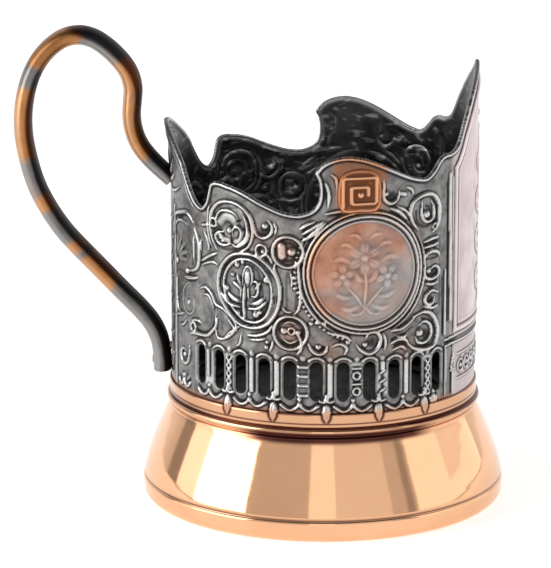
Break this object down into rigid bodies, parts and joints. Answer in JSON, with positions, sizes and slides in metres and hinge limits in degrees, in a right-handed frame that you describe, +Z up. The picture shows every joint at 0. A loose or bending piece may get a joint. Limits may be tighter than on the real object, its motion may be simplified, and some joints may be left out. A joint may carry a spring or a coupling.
{
  "type": "tea glass holder",
  "caption": "Tea-glass holder: a pierced, scalloped cylindrical sleeve on a flared spun foot, with a looped strap handle, round side medallions and a peaked front plaque.",
  "frame": {"origin": "centre of the foot's resting face", "axes": "+Z up along the bore that takes the glass, -X towards the handle, +X towards the front plaque"},
  "size_m": [0.1118, 0.083, 0.1088],
  "materials": {
    "sleeve_metal": "silver-plated brass, oxidised dark in the recesses",
    "foot_copper": "polished copper plate over spun brass",
    "inner_metal": "dull oxidised plate",
    "rivet_metal": "plain, filed flush",
    "handle_copper": "copper plate with dark patina",
    "trim_copper": "copper plate with dark patina in the recesses",
    "plaque_metal": "pale copper over silver plate, satin"
  },
  "bodies": {
    "root": {"sleeve": "sleeve_metal", "foot": "foot_copper", "floor_plate": "inner_metal", "floor_rivets": "rivet_metal", "collar_ring": "foot_copper", "handle": "handle_copper", "handle_rivets": "rivet_metal", "medallion_right": "trim_copper", "medallion_left": "trim_copper", "crest_right": "trim_copper", "crest_left": "trim_copper", "front_plaque": "plaque_metal"}
  },
  "joints": []
}
